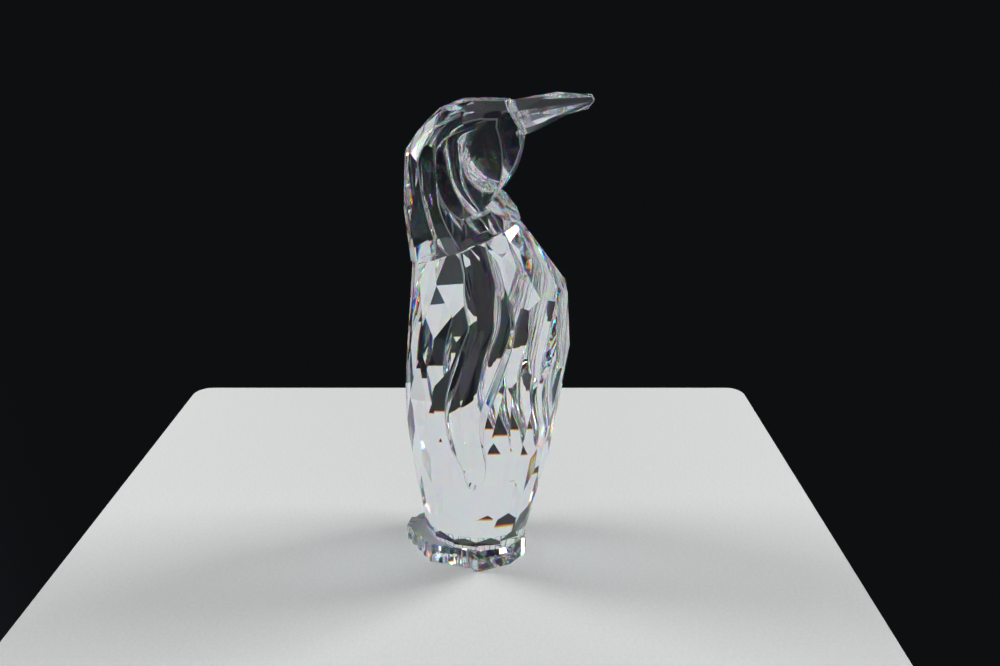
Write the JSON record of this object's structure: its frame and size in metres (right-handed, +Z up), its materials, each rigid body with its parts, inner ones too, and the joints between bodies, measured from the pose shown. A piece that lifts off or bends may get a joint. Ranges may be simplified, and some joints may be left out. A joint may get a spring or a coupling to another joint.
{
  "type": "penguin figurine",
  "caption": "Clear cut-crystal penguin looking up, with a faceted body, S-shaped flipper lines, hollowed cheeks, a long pointed beak and a low fluted foot.",
  "frame": {"origin": "middle of the foot's underside, on the table", "axes": "+Z up; the penguin faces -Y, so its beak points along -Y; +X is its left side"},
  "size_m": [0.0268, 0.0331, 0.0866],
  "materials": {
    "crystal": "cut and polished, clear",
    "clear_cement": "clear cured cement with small bubbles",
    "white_cement": "whitish cured cement"
  },
  "bodies": {
    "root": {"body": "crystal", "head": "crystal", "beak": "crystal", "foot_base": "crystal", "neck_cement": "clear_cement", "foot_cement": "clear_cement", "beak_cement": "white_cement"}
  },
  "joints": []
}
